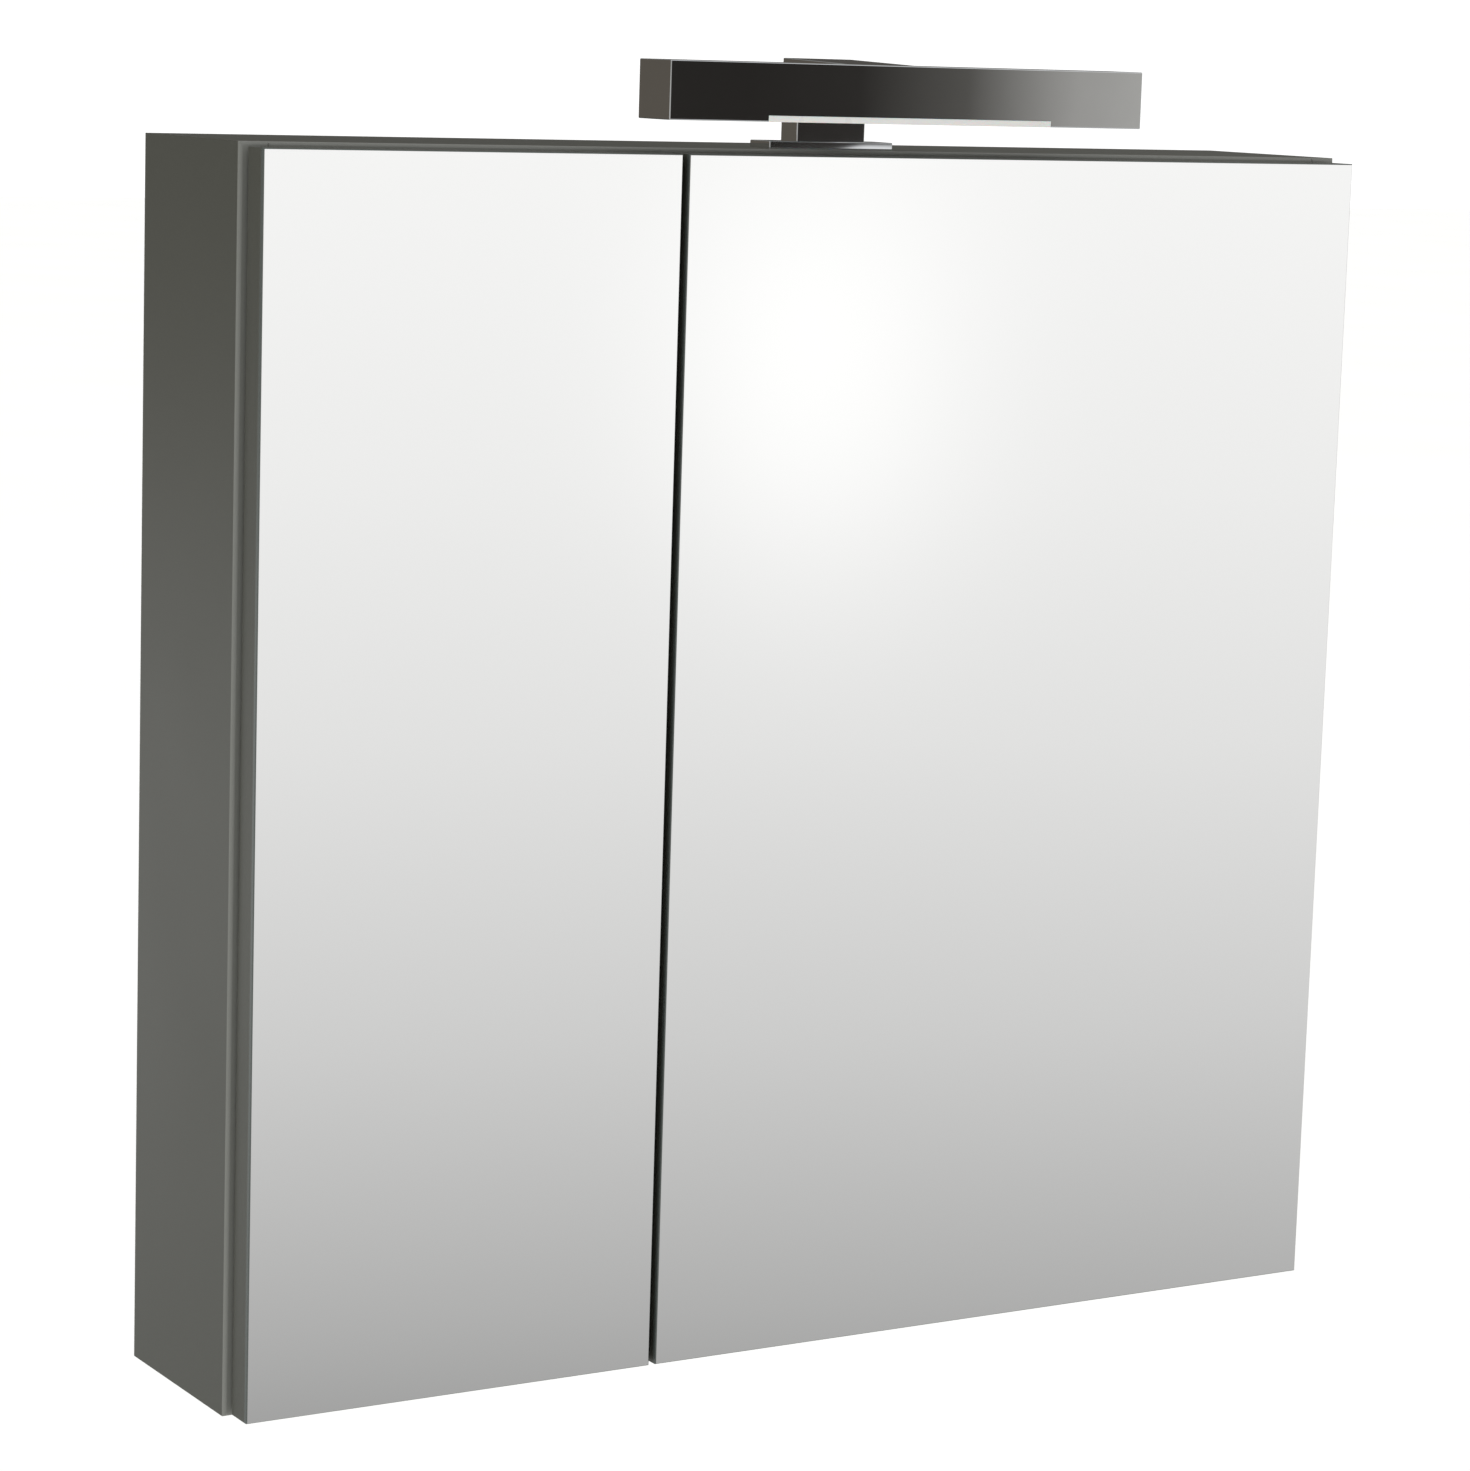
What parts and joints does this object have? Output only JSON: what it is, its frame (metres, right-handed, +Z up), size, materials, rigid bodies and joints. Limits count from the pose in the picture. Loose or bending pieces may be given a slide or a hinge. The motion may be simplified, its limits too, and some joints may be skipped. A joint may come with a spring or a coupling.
{
  "type": "mirror cabinet",
  "caption": "Wall-hung bathroom cabinet with mirrored doors of unequal width, glass shelves, adjustable hangers and a chrome lamp bar on a neck on the top panel.",
  "frame": {"origin": "on the wall plane, at the middle of the rectangle of the four wall-plate screw holes", "axes": "+X to the right seen from the front, +Y into the wall, +Z up; the doors face -Y"},
  "size_m": [0.7, 0.181, 0.719],
  "materials": {
    "anthracite_board": "satin anthracite melamine over chipboard",
    "grey_hardboard": "lacquered hardboard",
    "beech": "bare fluted beech",
    "zinc_steel": "bright zinc plate",
    "shelf_glass": "clear float glass with polished edges",
    "nickel_steel": "nickel plate",
    "white_plastic": "fine moulded texture",
    "lamp_chrome": "polished chrome",
    "plain_steel": "plain steel",
    "opal_plastic": "opal acrylic",
    "white_circuit_board": "white solder mask",
    "led_yellow": "phosphor window",
    "green_circuit_board": "green solder mask",
    "black_rubber": "matt",
    "black_plastic": "semi-gloss",
    "mirror_glass": "silvered float glass",
    "clear_rubber": "clear soft polyurethane"
  },
  "bodies": {
    "cabinet": {"left_side": "anthracite_board", "right_side": "anthracite_board", "top_panel": "anthracite_board", "bottom_panel": "anthracite_board", "partition": "anthracite_board", "back_panel": "grey_hardboard", "panel_dowels": "beech", "cam_bolts": "zinc_steel", "cam_discs": "zinc_steel", "left_hanger_hook": "zinc_steel", "right_hanger_hook": "zinc_steel", "left_wall_plate": "zinc_steel", "right_wall_plate": "zinc_steel", "hanger_screws": "zinc_steel", "driver_cover_screws": "zinc_steel", "driver_box_screws": "zinc_steel", "left_upper_shelf": "shelf_glass", "left_lower_shelf": "shelf_glass", "right_upper_shelf": "shelf_glass", "right_lower_shelf": "shelf_glass", "left_shelf_pins": "nickel_steel", "right_shelf_pins": "nickel_steel", "left_hinge_arms": "nickel_steel", "right_hinge_arms": "nickel_steel", "left_hinge_plates": "nickel_steel", "right_hinge_plates": "nickel_steel", "hinge_plate_screws": "nickel_steel", "hinge_arm_screws": "nickel_steel", "left_hanger": "white_plastic", "right_hanger": "white_plastic", "driver_box": "white_plastic", "driver_box_cover": "white_plastic", "terminal_block": "white_plastic", "lamp_base_plate": "lamp_chrome", "lamp_neck": "lamp_chrome", "lamp_housing": "lamp_chrome", "lamp_left_cap": "lamp_chrome", "lamp_right_cap": "lamp_chrome", "lamp_base_screws": "lamp_chrome", "lamp_neck_screws": "plain_steel", "switch_axle": "plain_steel", "lamp_diffuser": "opal_plastic", "led_board": "white_circuit_board", "led_chips": "led_yellow", "driver_board": "green_circuit_board", "cable_grommet": "black_rubber"},
    "left_door": {"left_door_panel": "anthracite_board", "left_mirror": "mirror_glass", "left_hinge_cups": "nickel_steel", "left_hinge_pins": "nickel_steel", "left_hinge_cup_screws": "nickel_steel", "left_door_bumpers": "clear_rubber"},
    "right_door": {"right_door_panel": "anthracite_board", "right_mirror": "mirror_glass", "right_hinge_cups": "nickel_steel", "right_hinge_pins": "nickel_steel", "right_hinge_cup_screws": "nickel_steel", "right_door_bumpers": "clear_rubber"},
    "rocker": {"switch_rocker": "black_plastic"}
  },
  "joints": [
    {"name": "left_door_hinge", "type": "hinge", "parent": "cabinet", "child": "left_door", "pos_m": [-0.3397, -0.132, -0.275], "axis": [0, 0, -1], "range_deg": [0, 95]},
    {"name": "right_door_hinge", "type": "hinge", "parent": "cabinet", "child": "right_door", "pos_m": [0.3397, -0.132, -0.275], "axis": [0, 0, 1], "range_deg": [0, 95]},
    {"name": "switch_rocker_tip", "type": "hinge", "parent": "cabinet", "child": "rocker", "pos_m": [0.052, -0.101, 0.029], "axis": [1, 0, 0], "range_deg": [0, 14]}
  ]
}
